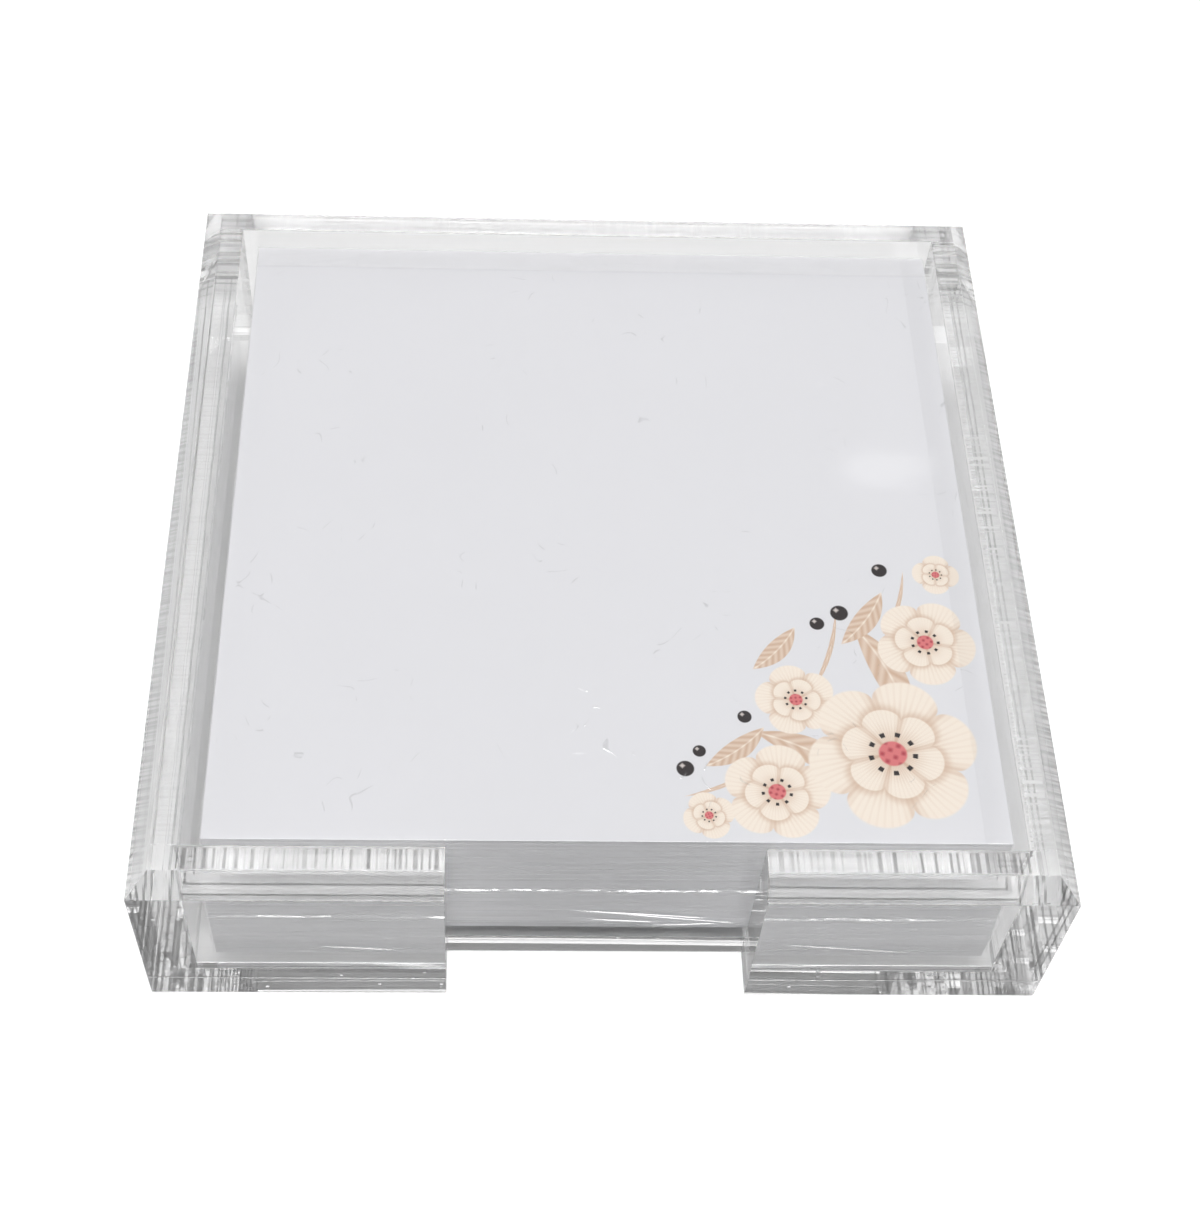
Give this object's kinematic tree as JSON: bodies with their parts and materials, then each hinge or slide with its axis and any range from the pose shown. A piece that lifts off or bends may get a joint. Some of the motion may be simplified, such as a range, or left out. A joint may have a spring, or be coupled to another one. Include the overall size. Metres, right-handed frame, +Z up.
{
  "type": "memo sheet tray",
  "caption": "Open square desk tray of thick clear acrylic with a finger notch in its front, holding a shrink-wrapped stack of square memo sheets that lifts out.",
  "frame": {"origin": "middle of the tray's underside", "axes": "+Z up, -Y towards the notched front, +X to the right as seen from the front"},
  "size_m": [0.1524, 0.1524, 0.0381],
  "materials": {
    "clear_acrylic": "polished",
    "memo_paper": "matte",
    "printed_paper": "satin",
    "shrink_film": "gloss"
  },
  "bodies": {
    "tray": {"base_plate": "clear_acrylic", "back_wall": "clear_acrylic", "left_wall": "clear_acrylic", "right_wall": "clear_acrylic", "front_left_wall": "clear_acrylic", "front_right_wall": "clear_acrylic"},
    "pad": {"sheet_stack": "memo_paper", "top_sheet": "printed_paper", "shrink_wrap": "shrink_film"}
  },
  "joints": [
    {"name": "pad_lift", "type": "slide", "parent": "tray", "child": "pad", "axis": [0, 0, 1], "range_m": [0, 0.04]}
  ]
}
